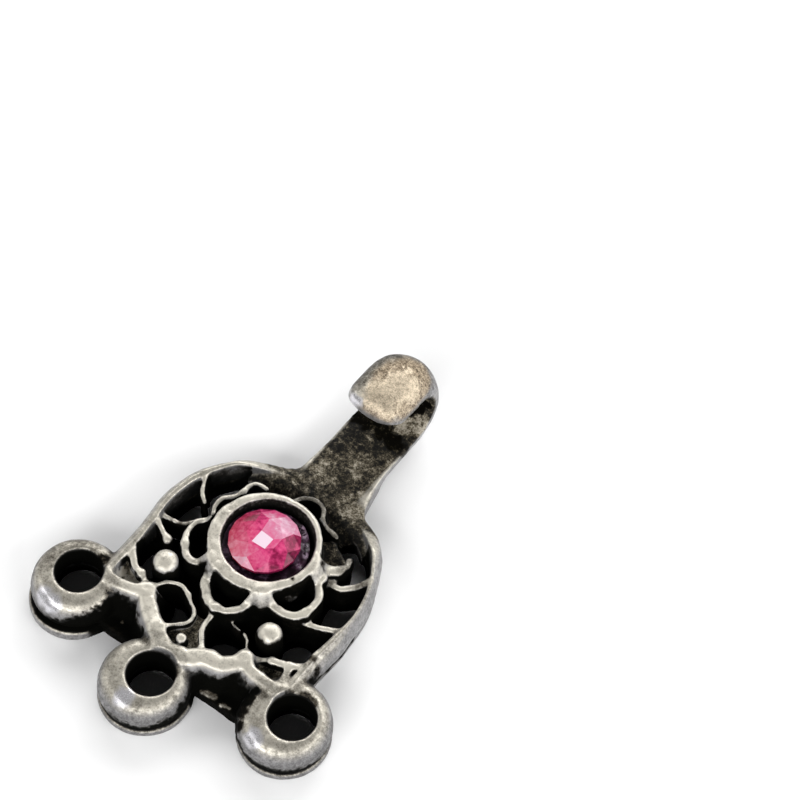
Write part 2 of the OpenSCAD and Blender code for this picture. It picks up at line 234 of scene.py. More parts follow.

# Stains, painted shadow and painted light on the arm's face, black below 0 and bright above: x, y, radius,
# strength
ARM_STAINS_AND_PAINTED_LIGHT = [
    # Painted shadow under the tip, and stains on the rest of the face
    (-2, 14, 0.9, -1), (-1, 13.9, 1, -1), (0.2, 13.8, 1, -1), (1.3, 13.7, 0.9, -1),
    (2.1, 13.5, 0.7, -0.8), (-1.9, 10.7, 0.7, -0.5), (-1.2, 12.2, 0.9, -0.4), (1.2, 12.3, 0.8, -0.3),
    (0.4, 9.9, 0.5, 0.3), (1.2, 9.6, 0.35, 0.5), (-1.5, 7.6, 1.4, 0.35), (2.6, 7, 1, 0.45),
    (-0.1, 12.7, 0.35, 0.6), (-3.2, 6.9, 1, 0.2),
    # The bright right side, which is painted light, and the thin bright line along the neck's lower edge
    (2.3, 8.6, 0.6, 0.5), (2.35, 10, 0.5, 0.5), (2.35, 11.3, 0.5, 0.45), (-2.2, 6.4, 0.3, 0.7),
    (-1.1, 6.4, 0.3, 0.6), (0, 6.35, 0.25, 0.5), (1.2, 6.1, 0.3, 0.4),
]
# The slit in the right side of the plate: x, and each stain's y, z, radius, strength
SLIT_X = 8.6
SLIT_STAINS = [
    (-0.8, 0.68, 0.3, -1.4), (-1.3, 0.68, 0.32, -1.4), (-1.8, 0.7, 0.34, -1.4), (-2.3, 0.75, 0.4, -1.5),
    (-2.9, 0.9, 0.5, -1.6), (-3.5, 1, 0.55, -1.6), (-4.1, 1.05, 0.6, -1.6), (-4.7, 1.1, 0.65, -1.6),
    (-5.4, 1.2, 0.75, -1.6),
]
# All stains, with painted light and shade among them: x, y, z, radius, strength
STAINS_AND_PAINTED_LIGHT = [
    *((x, y, BAR_T, *row) for x, y, *row in ARM_STAINS_AND_PAINTED_LIGHT),
    *((SLIT_X, *row) for row in SLIT_STAINS),
    # The left end of the line along the neck, and painted light with black marks on the inside of the bend
    (-3.3, 6.35, 1.8, 0.3, 0.7),
    (1.3, 15.4, 2, 1, 0.9), (2.1, 15.8, 2.2, 0.9, 0.9), (0.6, 15, 1.9, 0.6, 0.5),
    (1.8, 16.4, 2.6, 0.6, 0.7), (1, 16.3, 2.5, 0.4, -1.5), (1.45, 16.7, 3, 0.45, -1.6),
    (1.85, 16.95, 3.6, 0.4, -1.6),
    # Ragged black at the loops' lips
    (-8.5, -7.5, 3, 0.55, -0.9), (-7.9, -8.3, 3, 0.5, -0.8), (-9.4, -7.5, 3, 0.35, -0.5),
    (1, -11.3, 2.9, 0.5, -0.8), (0.9, -10.8, 2.9, 0.4, -0.6), (9.95, -7.4, 3, 0.45, -0.8),
    (9.2, -7.3, 3, 0.45, -0.8), (8.4, -7.8, 3, 0.5, -0.7),
    # The right loop's flank, and the rim beside the slit
    (6.3, -9.9, 2.7, 0.6, -1.3), (6.55, -10.7, 2.6, 0.55, -1.2), (6.9, -11.4, 2.3, 0.5, -1.1),
    (6.3, -9, 2.7, 0.5, -1), (7.9, -4.8, 3.1, 0.35, -0.9), (7.95, -5.5, 3, 0.4, -0.8),
    (8.45, -5.1, 2.5, 0.45, -1), (8.5, -5.9, 2.3, 0.5, -1),
    # Painted shade on the left loop's brownish top
    (-10.6, -7.6, 2.9, 1.8, -0.28), (-11.9, -9.8, 2.3, 1.6, -0.25),
    # Flecks on the web
    (3.8, -10.3, 1.2, 0.3, 1.2), (3.5, -10.4, 1.2, 0.3, 1.2), (3.2, -10.5, 1.2, 0.28, 1.2),
    (2.9, -10.6, 1.2, 0.25, 1.2), (4.6, -10.5, 1.1, 0.22, 1.2), (4.9, -10.45, 1.1, 0.22, 1.2),
    (-4.9, -9.8, 1.2, 0.2, 1.5), (5.2, -10.4, 1.1, 0.2, 1.5),
    # A painted highlight on the tip's lower left edge, the hook's worn patch, and painted shade beyond the
    # patch and on the hook's left side
    (-2.2, 12.5, 6.5, 0.8, 0.4), (-1.4, 11.9, 6.5, 0.8, 0.4), (0.3, 13.1, 7.9, 1.6, 1),
    (0.9, 14.6, 7.9, 1.6, 1), (0.2, 16.6, 7.6, 1.5, -0.4), (1.6, 17, 6.8, 1.3, -0.3),
    (-1.3, 15.2, 7.7, 1.3, -0.3), (-2.6, 13.6, 7, 1.6, -0.4), (-2.5, 15.4, 6.8, 1.6, -0.45),
    (-1.9, 17, 6.4, 1.5, -0.45), (0.1, 18, 6.4, 1.4, -0.3),
    # Dim light on the collar's wall inside the two lower petals
    (3.6, -2, 3, 0.4, 0.8), (3.8, -1.7, 2.6, 0.45, 0.9), (4, -1.2, 2.1, 0.45, 0.8),
    (3.3, -2.5, 2.6, 0.4, 0.6), (-0.9, -4.1, 1.7, 0.3, 1.5), (-0.7, -4.15, 2.2, 0.3, 0.9),
    # The collar's nick, and one dark and two light spots in the left pocket
    (3.45, -1.2, 4.5, 0.2, -1.2), (-7.5, -7.1, 2.3, 0.5, -0.4), (-6.6, -7.5, 2.3, 1, 1.4),
    (-5.7, -7.4, 2.3, 0.8, 1.2),
    # Black flecks on the rim's outer side above the left loop
    (-8.65, -5.3, 2.4, 0.35, -1), (-8.6, -4.4, 2.6, 0.3, -0.7), (-8.7, -4.9, 1.9, 0.35, -0.8),
]
# How much painted shade darkens the loops' lower flanks, and how much of the black the cup's wall lacks
FLANK_SHADE = 0.3
CUP_PALE = 0.22
# Glossy spots with painted highlights, low on the left of each loop and on the hook's tip: x, y, z and reach
GLOSS_AND_HIGHLIGHT_SPOTS = [
    (-9.15, -12.2, 2.7, 0.9), (-9.9, -12, 2.6, 0.9), (-0.45, -14.9, 2.9, 0.9), (8.35, -11.8, 2.8, 0.9),
    (-1.3, 12.15, 6.9, 0.7), (-0.95, 12.1, 7, 0.6),
]

# Stone, as in the solid that it replaces
STONE_R = 2.6
TABLE_R = 1.3
CROWN_R = 2.03
TABLE_Z = 5.02
CROWN_Z = 4.64
GIRDLE_HIGH = 4.17
GIRDLE_LOW = 3.95
CULET_R = 0.8
CULET_Z = 2.86
CUP_R = 3.32
CEMENT_LOW = 2.65
# Pale specks on the cement: x, y, z and reach
GLINTS = [(1.25, 2.75, 3.7, 0.4), (1.7, 2.4, 3.75, 0.35), (2.25, 1.9, 3.8, 0.3), (2.75, 1.2, 3.7, 0.3)]

# Bumps of the metal, and more on the relief and on the rough ground: height and size of each
SKIN_BUMPS = [(0.022, 0.9), (0.012, 0.35)]
RELIEF_BUMPS = [(0.035, 0.6), (0.022, 0.28)]
ROUGH_BUMPS = [(0.06, 0.55), (0.035, 0.25)]
# How far the relief sways sideways, and over what length
SWAY = 0.09
SWAY_SIZE = 1.3

# Colours of the silver, from black to worn bright
TOP_COLORS = [
    (0, (0.0015, 0.0015, 0.001)), (0.25, (0.006, 0.005, 0.0035)), (0.45, (0.07, 0.06, 0.045)),
    (0.65, (0.22, 0.203, 0.17)), (1, (0.6, 0.565, 0.485)),
]
# Painted shade: the sides of the loops and the hook, and all faces turned away from up, are darker and cooler
# than their tops
SHADED_SIDE_COLORS = [
    (0, (0.0015, 0.0015, 0.001)), (0.25, (0.006, 0.005, 0.004)), (0.45, (0.06, 0.057, 0.055)),
    (0.65, (0.155, 0.155, 0.165)), (1, (0.29, 0.29, 0.31)),
]
# The hook's patch is warmer
BUFF_COLORS = [
    (0.37, (0.08, 0.055, 0.034)), (0.45, (0.28, 0.215, 0.145)), (0.54, (0.48, 0.395, 0.28)),
    (0.63, (0.72, 0.6, 0.44)),
]
CRUST_COLORS = [
    (0.4, (0.002, 0.0017, 0.001)), (0.47, (0.018, 0.015, 0.009)), (0.54, (0.068, 0.057, 0.038)),
    (0.61, (0.175, 0.152, 0.11)), (0.69, (0.38, 0.345, 0.28)),
]
# Colour of the painted highlights
PAINTED_HIGHLIGHT_COLOR = (0.76, 0.75, 0.79, 1)

# Colours of the foil by its tone, and on its warmer side
FOIL_COLORS = [
    (0, (0.04, 0.001, 0.012)), (0.28, (0.24, 0.012, 0.06)), (0.48, (0.56, 0.05, 0.165)),
    (0.62, (0.62, 0.1, 0.225)), (0.8, (0.6, 0.235, 0.35)), (0.95, (0.76, 0.6, 0.69)),
]
WARM_FOIL_COLORS = [
    (0.2, (0.3, 0.02, 0.04)), (0.5, (0.52, 0.07, 0.12)), (0.8, (0.6, 0.24, 0.3)), (0.95, (0.66, 0.51, 0.58)),
]
CEMENT_COLORS = [(0.4, (0.012, 0.004, 0.009)), (0.55, (0.05, 0.02, 0.04)), (0.68, (0.26, 0.15, 0.24))]
GLINT_COLOR = (0.62, 0.46, 0.6, 1)
FLOOR_COLORS = [(0.3, (0.9, 0.9, 0.9)), (0.7, (0.93, 0.93, 0.93))]

# Camera: its place, and its directions
CAMERA_AT = (51.002, -66.123, 145.374)
CAMERA_FORWARD = (-0.29675, 0.4788, -0.82625)
CAMERA_RIGHT = (0.80418, 0.59191, 0.05419)
CAMERA_LENS = 104.73

# Lights: name, direction, distance, width and height in metres, and power. They stand low or
# beyond the object, so that none shines on the floor seen through the gaps
LIGHTS = [
    ("beyond", (-0.45, 0.72, 0.52), 0.6, (0.6, 0.3), 2.3),
    ("back", (0.2, 0.88, 0.42), 0.7, (0.9, 0.3), 2.7),
    ("right", (0.9, 0, 0.5), 0.8, (0.9, 0.28), 4.6),
    ("left", (-0.9, -0.3, 0.55), 0.7, (0.5, 0.35), 1.2),
    ("front", (0.2, -0.9, 0.6), 0.8, (0.9, 0.28), 5.6),
    ("spark", (-0.4, -0.62, 0.6), 0.7, (0.12, 0.12), 0.11),
]
WORLD_STRENGTH = 0.025
# Half the floor's width, and how far it lies below the object
FLOOR_HALF = 1500
FLOOR_GAP = 0.02


def melt(a, b, k):
    """The smaller of two distances, with a fillet of about k where they meet."""
    h = np.maximum(k - np.abs(a - b), 0) / k
    return np.minimum(a, b) - h * h * k / 4


def carve(a, b, k):
    """The larger of two distances, with an edge rounded by about k."""
    return -melt(-a, -b, k)


def between(value, low, high):
    """How far a value has come from low to high, eased, from 0 to 1."""
    t = np.clip((value - low) / (high - low), 0, 1)
    return t * t * (3 - 2 * t)


def below(value, low, high):
    """How far a value has come down from high to low, eased, from 0 to 1."""
    return between(-value, -high, -low)


def arc(x, y, r, start, end, steps):
    """Points along an arc, with angles in degrees."""
    turns = np.radians(np.linspace(start, end, steps + 1))
    return [(x + r * math.cos(t), y + r * math.sin(t)) for t in turns]


def smooth_run(points, steps=6):
    """Points close together on a smooth curve through the given ones."""
    p = np.array([points[0], *points, points[-1]], float)
    p[0] = 2 * p[1] - p[2]
    p[-1] = 2 * p[-2] - p[-3]
    t = np.arange(steps)[:, None] / steps
    spans = [
        0.5 * (2 * b + (c - a) * t + (2 * a - 5 * b + 4 * c - d) * t**2 + (3 * b - a - 3 * c + d) * t**3)
        for a, b, c, d in zip(p, p[1:], p[2:], p[3:])
    ]
    return np.vstack([*spans, p[-2:-1]])


def run_distance(u, v, run):
    """Distance in a plane to a run of points, its side (left is positive) and the share passed."""
    best = np.full(np.broadcast(u, v).shape, np.inf)
    side = np.zeros(best.shape)
    share = np.zeros(best.shape)
    for i, ((au, av), (bu, bv)) in enumerate(zip(run, run[1:])):
        du, dv = bu - au, bv - av
        if du == dv == 0:
            continue
        t = np.clip(((u - au) * du + (v - av) * dv) / (du * du + dv * dv), 0, 1)
        off_u, off_v = u - au - t * du, v - av - t * dv
        square = off_u**2 + off_v**2
        near = square < best
        best = np.where(near, square, best)
        side = np.where(near, np.sign(du * off_v - dv * off_u), side)
        share = np.where(near, (i + t) / (len(run) - 1), share)
    return np.sqrt(best), side, share


def outline_distance(u, v, outline):
    """Signed distance in a plane to a closed outline, negative inside."""
    off, _, _ = run_distance(u, v, [*outline, outline[0]])
    inside = np.zeros(off.shape, bool)
    for (au, av), (bu, bv) in zip(outline, [*outline[1:], outline[0]]):
        if av != bv:
            crosses = (av > v) != (bv > v)
            inside ^= crosses & (u < au + (v - av) * (bu - au) / (bv - av))
    return np.where(inside, -off, off)


class Field:
    """Distances on a grid, in millimetres, negative inside the metal."""

    def __init__(self):
        self.axes = [np.arange(a, b, GRID_STEP) for a, b in zip(GRID_LOW, GRID_HIGH)]
        self.values = np.full([len(a) for a in self.axes], FAR, np.float32)

    def block(self, low, high):
        """The part of the grid around a box, and its coordinates."""
        ends = [(np.searchsorted(a, p - REACH), np.searchsorted(a, q + REACH))
                for a, p, q in zip(self.axes, low, high)]
        x, y, z = [a[i:j] for a, (i, j) in zip(self.axes, ends)]
        cut = tuple(slice(i, j) for i, j in ends)
        return cut, x[:, None, None], y[None, :, None], z[None, None, :]

    def add(self, shape, low, high, k=0.3):
        cut, x, y, z = self.block(low, high)
        self.values[cut] = melt(self.values[cut], shape(x, y, z), k)

    def take(self, shape, low, high, k):
        cut, x, y, z = self.block(low, high)
        self.values[cut] = carve(self.values[cut], -shape(x, y, z), k)


def slab(flat, z, low, high, k=0.15):
    """A plan distance carried up from low to high, with rounded edges."""
    return carve(flat, np.abs(z - (low + high) / 2) - (high - low) / 2, k)


def add_wire(field, half, top_from, top_to, points, foot=0, rise=0):
    """A wire with a worn top on a wall. Its foot can spread to the right, its top rise to the collar."""
    run = smooth_run(points)
    corner = half + foot

    def shape(x, y, z):
        off, side, share = run_distance(x, y, run)
        top = top_from + (top_to - top_from) * share
        top = top + rise * (COLLAR_TOP - top) * below(np.hypot(x, y), COLLAR_R + 0.05, COLLAR_R + 0.9)
        fall = np.maximum(top - z, 0)
        width = half + np.where(side < 0, foot * fall / (top - WALL_LOW), 0.04 * fall)
        return carve(carve(off - width, z - top, 0.8 * half), WALL_LOW - z, 0.1)

    field.add(shape, (*(run.min(0) - corner), WALL_LOW), (*(run.max(0) + corner), COLLAR_TOP))


def pierced_gaps(x, y):
    """Plan distance to the nearest of the eight gaps."""
    across = np.abs(x - PLATE_X)
    gaps = np.full(np.broadcast(x, y).shape, FAR)
    for start, end, inset in RIM_GAPS:
        off, _, _ = run_distance(across, y, arc(0, PLATE_Y, RIM_IN - inset, start, end, 6))
        gaps = np.minimum(gaps, off - RIM_GAP_HALF)
    for gx, gy, half_w, half_h in ROUND_GAPS:
        off = np.hypot((across - gx) / half_w, (y - gy) / half_h)
        gaps = np.minimum(gaps, (off - 1) * min(half_w, half_h))
    kept = np.hypot(x, y) - COLLAR_R - 0.1
    for px, py, r in PETAL_GROUNDS:
        kept = np.minimum(kept, np.hypot(x - px, y - py) - r)
    return carve(gaps, -kept, 0.3)


def add_ground(field):
    corner_x = SIDE_POINTS[0][0] + 0.35
    half = [(0, GROUND_LOW), (WEB_HALF, GROUND_LOW), (corner_x, SIDE_POINTS[1][1]), (corner_x, -4.3)]
    half += arc(0, PLATE_Y, RIM_IN + 0.2, -7, 90, 16)

    def shape(x, y, z):
        plan = carve(outline_distance(np.abs(x - PLATE_X), y, half), -pierced_gaps(x, y), 0.2)
        return slab(plan, z, CUT_LOW, GROUND_TOP)

    field.add(shape, (-9, -11, CUT_LOW), (9.3, 7.4, GROUND_TOP))


def add_pocket(field, top, corners):
    def shape(x, y, z):
        return slab(outline_distance(x, y, corners), z, WALL_LOW, top, 0.4)

    low, high = np.min(corners, 0), np.max(corners, 0)
    field.add(shape, (*low, WALL_LOW), (*high, top), 0.4)


def add_neck(field):
    neck_half = BAR_HALF + 0.35
    fillet_x = neck_half + NECK_FILLET
    fillet_y = PLATE_Y + math.sqrt((SHOULDER_R + NECK_FILLET) ** 2 - fillet_x**2)
    meet = math.degrees(math.atan2(fillet_y - PLATE_Y, fillet_x))
    half = [*NECK_EDGE, *arc(0, PLATE_Y, SHOULDER_R, SHOULDER_ANGLE, meet, 4)]
    half += arc(fillet_x, fillet_y, NECK_FILLET, meet + 180, 180, 6)
    half += [(BAR_HALF, 10.2), (BAR_HALF / 2, 14), (0, 14)]

    def shape(x, y, z):
        return slab(outline_distance(np.abs(x - PLATE_X), y, half), z, NECK_LOW, BAR_T, 0.45)

    field.add(shape, (-7, 4, NECK_LOW), (7, 14, BAR_T), 0.4)


def add_fall(field):
    """The rough ground that falls from the neck to the petals."""
    def shape(x, y, z):
        plan = carve(outline_distance(np.abs(x - PLATE_X), y, FALL_EDGE), -pierced_gaps(x, y), 0.2)
        return carve(carve(plan, z - BAR_T + FALL_SLOPE * (FALL_Y - y), 0.3), WALL_LOW - z, 0.1)

    field.add(shape, (-6, 3.5, WALL_LOW), (6, 6.6, BAR_T))


def add_rim(field):
    low_angle = math.degrees(math.asin((SIDE_TOP - PLATE_Y) / RIM_IN))
    run = arc(0, PLATE_Y, RIM_IN, RIM_TOP_ANGLE, low_angle, 24) + SIDE_POINTS

    def shape(x, y, z):
        off, side, _ = run_distance(np.abs(x - PLATE_X), y, run)
        width = np.interp(y, (-5, -1), (SIDE_W, RIM_W))
        width = width + RIM_BULGE * below(x, -7.5, -6) * below(np.abs(y - 0.8), 1.6, 3.6)
        width = width - RIM_PINCH * between(x, 4, 6.5) * below(np.abs(y - 1.2), 1.8, 4.2)
        out = off * side * RIM_W / width
        body = outline_distance(out, z, RIM_SECTION) - 0.08
        slope = (z - RIM_TOP - 0.1 + SHOULDER_SLOPE * (y - SHOULDER_Y)) / math.hypot(1, SHOULDER_SLOPE)
        return carve(body, slope, 0.3)

    for side in (-1, 1):
        ends = sorted((side * 2.5 + PLATE_X, side * 9 + PLATE_X))
        field.add(shape, (ends[0], -8.6, 0), (ends[1], 6.6, RIM_TOP), 0.35)


def add_collar(field):
    """The collar round the cup. The cup sits a little towards one side of it."""
    def collar(x, y, z):
        return outline_distance(np.hypot(x, y), z, COLLAR_SECTION)

    def cup(x, y, z):
        return outline_distance(np.hypot(x - CUP_X, y - CUP_Y), z, CUP_SECTION)

    field.add(collar, (-4.3, -4.3, WALL_LOW), (4.3, 4.3, COLLAR_TOP), 0.25)
    field.take(cup, (-3.6, -3.6, 2.6), (3.8, 3.8, 4.6), 0.08)


def add_pellet(field, px, py, r, top):
    def shape(x, y, z):
        rise = np.maximum(z - top + 0.75 * r, 0) / 0.75
        return carve(np.hypot(np.hypot(x - px, y - py), rise) - r, WALL_LOW - z, 0.1)

    field.add(shape, (px - r, py - r, WALL_LOW), (px + r, py + r, top), 0.2)


def add_loop(field, dome_x, dome_y, dome_r, band_x, band_y, band_r, band_top):
    """A domed loop on a thin band, with a groove between them."""
    middle = LOOP_TOP - LOOP_RISE

    def dome(x, y, z):
        out = np.maximum(np.hypot(x - dome_x, y - dome_y) - dome_r + LOOP_ROUND, 0) / LOOP_ROUND
        rise = np.where(z > middle, z - middle, 0.55 * (middle - z)) / LOOP_RISE
        under = band_top + 0.02 - z + 0.4 * np.maximum(out - 0.7, 0)
        return carve((np.hypot(out, rise) - 1) * LOOP_ROUND, under, 0.1)

    def band(x, y, z):
        out = np.maximum(np.hypot(x - band_x, y - band_y) - band_r + 0.3, 0)
        half = band_top / 2 - 0.02
        return np.hypot(out, np.maximum(np.abs(z - half) - half + 0.27, 0)) - 0.3

    box = max(dome_r, band_r)
    low, high = (dome_x - box, dome_y - box - 0.6), (dome_x + box + 0.4, dome_y + box)
    field.add(dome, (*low, band_top), (*high, LOOP_TOP))
    field.add(band, (*low, 0), (*high, band_top), 0.06)


def pierce_loop(field, bore_x, bore_y):
    """The bore, with a worn edge."""
    def bore(x, y, z):
        return np.hypot(x - bore_x, y - bore_y) - LOOP_BORE - 0.3 * np.maximum(z - LOOP_TOP + 0.35, 0)

    box = LOOP_BORE + 1
    low, high = (bore_x - box, bore_y - box), (bore_x + box, bore_y + box)
    field.take(bore, (*low, CUT_LOW), (*high, LOOP_TOP), 0.2)


def add_hook(field):
    """The arm, the bend and the hook: one bar with a rounded back, whose edges thin out to the tip."""
    def shape(x, y, z):
        edge_t = np.interp(z, EDGE_HEIGHTS, EDGE_THICK)
        bar_r = (BAR_HALF**2 + (BAR_T - edge_t) ** 2) / (2 * (BAR_T - edge_t))
        over = np.hypot(np.maximum(y - BEND_Y, 0), z - BEND_Z) - BEND_IN
        back = carve(np.hypot(over - BAR_T + bar_r, x) - bar_r, np.abs(x) - BAR_HALF, 0.45)
        bar = carve(back, -over, 0.12)
        plan = np.hypot(x, np.minimum(y - TIP_Y - TIP_PLAN_R, 0)) - TIP_PLAN_R
        nose = np.hypot(np.minimum(y - TIP_Y - 2.4, 0), np.maximum(z - BEND_Z - 1.4, 0)) - NOSE_R
        tip = carve(carve(bar, plan, 0.7), nose, 0.8)
        arm = carve(bar, ARM_START - y, 0.2)
        return np.where(z > BEND_Z, tip, arm)

    field.add(shape, (-BAR_HALF, ARM_START, 0), (BAR_HALF, 18.9, 8))


def casting_field():
    field = Field()
    add_ground(field)
    add_neck(field)
    add_fall(field)
    add_rim(field)
    for row in POCKETS:
        add_pocket(field, *row)
    for row in RIDGE:
        add_wire(field, *row)
    for row in PETALS:
        add_wire(field, *row, rise=0.9)
    for row in TRACERY:
        add_wire(field, *row)
    for row in PELLETS:
        add_pellet(field, *row)
    add_collar(field)
    for row in LOOPS:
        add_loop(field, *row[2:])
    add_hook(field)
    for row in LOOPS:
        pierce_loop(field, *row[:2])
    # The back is cut flat
    field.take(lambda x, y, z: z, GRID_LOW, GRID_HIGH, 0.05)
    return field


def surface_net(field):
    """The zero surface of a field as points and quads: one point in each cell that it crosses."""
    f = field.values
    inside = f < 0
    nx, ny, nz = np.array(inside.shape) - 1
    count = sum(inside[i:nx + i, j:ny + j, k:nz + k].astype(np.int8) for i, j, k in np.ndindex(2, 2, 2))
    cells = np.argwhere((count > 0) & (count < 8))
    number = np.full(count.shape, -1, np.int32)
    number[tuple(cells.T)] = np.arange(len(cells))
    total = np.zeros((len(cells), 3))
    hits = np.zeros(len(cells))
    for axis in range(3):
        step = np.eye(3, dtype=int)[axis]
        for corner in np.ndindex(2, 2):
            offset = np.insert(corner, axis, 0)
            a = f[tuple((cells + offset).T)]
            b = f[tuple((cells + offset + step).T)]
            cross = (a < 0) != (b < 0)
            t = np.where(cross, a / np.where(cross, a - b, 1), 0)
            total += np.where(cross[:, None], offset + t[:, None] * step, 0)
            hits += cross
    points = np.array(GRID_LOW) + (cells + total / hits[:, None]) * GRID_STEP
    quads = []
    for axis in range(3):
        edges = np.argwhere(np.diff(inside, axis=axis))
        edges = edges[np.delete(edges, axis, 1).all(1)]
        into = inside[tuple(edges.T)] ^ (axis == 1)
        back = np.insert([(1, 1), (0, 1), (0, 0), (1, 0)], axis, 0, axis=1)
        quad = np.stack([number[tuple((edges - offset).T)] for offset in back], 1)
        quads.append(np.where(into[:, None], quad, quad[:, ::-1]))
    return points, np.vstack(quads)


def mix_corners(grid, cell, t):
    """A grid's values at the share t of each cell. The grid repeats beyond its ends."""
    out = np.zeros(len(cell))
    for corner in np.ndindex(2, 2, 2):
        weight = np.prod(np.where(corner, t, 1 - t), axis=1)
        out += weight * grid[tuple(((cell + corner) % grid.shape).T)]
    return out


def sample(grid, points):
    """Values of a grid at points, straight between its cells."""
    at = (points - np.array(GRID_LOW)) / GRID_STEP
    cell = np.clip(at.astype(int), 0, np.array(grid.shape) - 2)
    return mix_corners(grid, cell, np.clip(at - cell, 0, 1))


def blur(grid, reach):
    """A grid's mean over a cube of that half-width, in millimetres."""
    n = round(reach / GRID_STEP)
    width = 2 * n + 1
    for axis in range(3):
        padded = np.pad(np.moveaxis(grid, axis, 0), ((n + 1, n), (0, 0), (0, 0)), mode="edge")
        total = np.cumsum(padded, axis=0, dtype=np.float64)
        grid = np.moveaxis((total[width:] - total[:-width]) / width, 0, axis).astype(np.float32)
    return grid


def noise(points, size, seed):
    """Smooth random values from -1 to 1 at points, with bumps about that size."""
    lattice = np.random.default_rng(seed).uniform(-1, 1, (32, 32, 32))
    at = points / size
    cell = np.floor(at).astype(int)
    t = at - cell
    return mix_corners(lattice, cell, t * t * (3 - 2 * t))


def bumps(points, seed, rows):
    """A sum of noises. Each row is a height and a size."""
    return sum(height * noise(points, size, seed + i) for i, (height, size) in enumerate(rows))


def normals_of(field, points):
    steps = 0.5 * GRID_STEP * np.eye(3)
    around = [[sample(field.values, points + way * s) for s in steps] for way in (1, -1)]
    slope = np.ascontiguousarray(np.subtract(*around).T)
    return slope / np.maximum(np.linalg.norm(slope, axis=1, keepdims=True), 1e-9)


def stained(points):
    """The stains and the painted light and shade, with ragged edges."""
    ragged = bumps(points, SEED + 21, [(0.3, 0.45), (0.2, 0.2)])
    stain = np.zeros(len(points))
    for x, y, z, radius, strength in STAINS_AND_PAINTED_LIGHT:
        off = np.linalg.norm(points - (x, y, z), axis=1) / radius
        mark = strength * below(off + ragged, 0.6, 1.15)
        stain = np.where(np.abs(mark) > np.abs(stain), mark, stain)
    return stain


def spots(points, rows, core, ragged=0):
    """Round spots that fade from a share of their reach on. Each row is x, y, z and reach."""
    out = np.zeros(len(points))
    for *spot, reach in rows:
        off = np.linalg.norm(points - spot, axis=1) + ragged
        out = np.maximum(out, below(off, core * reach, reach))
    return out


def fall_zone(points, normals):
    """The falling ground below the neck."""
    x, y, z = points.T
    plan = outline_distance(np.abs(x - PLATE_X), y, FALL_EDGE)
    height = between(z, 1.05, 1.3) * below(z, 2.1, 2.35)
    return below(plan, -0.1, 0.15) * height * between(normals[:, 2], 0.3, 0.7)


def rough_zone(points, normals):
    """Where the casting was never polished: the arm's face, the neck and the sunken ground."""
    x, y, z = points.T
    arm = between(y, 5.6, 6.6) * below(np.abs(x), 2.25, 2.5) * below(z, 2, 2.3)
    neck = between(y, 5.2, 6) * below(y, 7.5, 8.5) * below(z, 2, 2.3)
    over = np.hypot(np.maximum(y - BEND_Y, 0), z - BEND_Z) - BEND_IN
    inner = between(y, 13, 14) * below(over, 0.1, 0.3)
    ground = below(z, 1.5, 2) * below(np.hypot(x, y), 9, 9.6)
    up = between(normals[:, 2], 0.2, 0.6)
    return np.maximum(np.maximum(arm, neck) * up, np.maximum(inner, ground * up))


def openwork(points):
    """Where only the tops of the relief are worn: inside the rim and on the web, clear of the loops."""
    x, y, _ = points.T
    across = np.abs(x - PLATE_X)
    bow = np.sqrt(np.clip(RIM_IN**2 - (y - PLATE_Y) ** 2, 0, None))
    half = np.where(y > SIDE_TOP, bow, SIDE_POINTS[0][0] + 0.1)
    inside = between(half - across, -0.15, 0.1) * between(y, -11.9, -11.5)
    neck_y = np.interp(across, *np.transpose([*NECK_EDGE, (NECK_EDGE[-1][0] + 0.1, RIM_IN)]))
    inside *= 1 - between(y - neck_y, -0.1, 0.1)
    for _, _, dome_x, dome_y, dome_r, *_ in LOOPS:
        inside *= between(np.hypot(x - dome_x, y - dome_y) - dome_r, -0.3, 0.05)
    return inside


def pocket_floors(points, normals):
    """The raised floors of the pockets."""
    x, y, z = points.T
    floor = np.zeros(len(points))
    for top, corners in POCKETS:
        inside = below(outline_distance(x, y, corners), -0.2, 0.1)
        floor = np.maximum(floor, inside * below(np.abs(z - top), 0.15, 0.3))
    return floor * between(normals[:, 2], 0.3, 0.7)


def over_dome(x, y, dome_x, dome_y, dome_r):
    """The loop's dome seen from above, with a margin."""
    return between(dome_r + 0.4 - np.hypot(x - dome_x, y - dome_y), 0, 0.1)


def sunken(points, normals, relief, floors):
    """What stays black: the walls and floors of the openwork, the bores and the grooves of the loops, and as
    painted shade some of the domes' flanks above the grooves.
    """
    x, y, z = points.T
    ragged = 0.2 * noise(points, 0.3, SEED + 11) + 0.15 * noise(points, 0.7, SEED + 13)
    fringe = 0.28 * noise(points, 0.16, SEED + 24)
    walls = 1 - between(normals[:, 2] + ragged, 0.25, 0.7) * between(z + ragged, 2.2, 2.75)
    off, side, _ = run_distance(x, y, [point for row in RIDGE for point in row[3]])
    skirt = below(off, 0.9, 1.2) * (side < 0)
    walls = np.minimum(walls, 1 - skirt * between(z + 2 * ragged + 1.2 * fringe, 2, 3.1))
    black = relief * walls * (1 - floors) * between(normals[:, 2], -0.9, -0.6)
    black *= 1 - CUP_PALE * between(CUP_R + 0.15 - np.hypot(x - CUP_X, y - CUP_Y), 0, 0.1)
    for (bore_x, bore_y, dome_x, dome_y, dome_r, *_, band_top), heights in zip(LOOPS, BLACK_AND_SHADE_HEIGHTS):
        black = np.maximum(black, 1 - between(np.hypot(x - bore_x, y - bore_y) - LOOP_BORE, 0, 0.12))
        top = np.interp(np.degrees(np.arctan2(y - dome_y, x - dome_x)), BLACK_ANGLES, heights)
        groove = between(top - z - 1.2 * ragged - fringe, -0.3, 0.15) * between(z, band_top - 0.08, band_top)
        black = np.maximum(black, over_dome(x, y, dome_x, dome_y, dome_r) * groove)
    return black


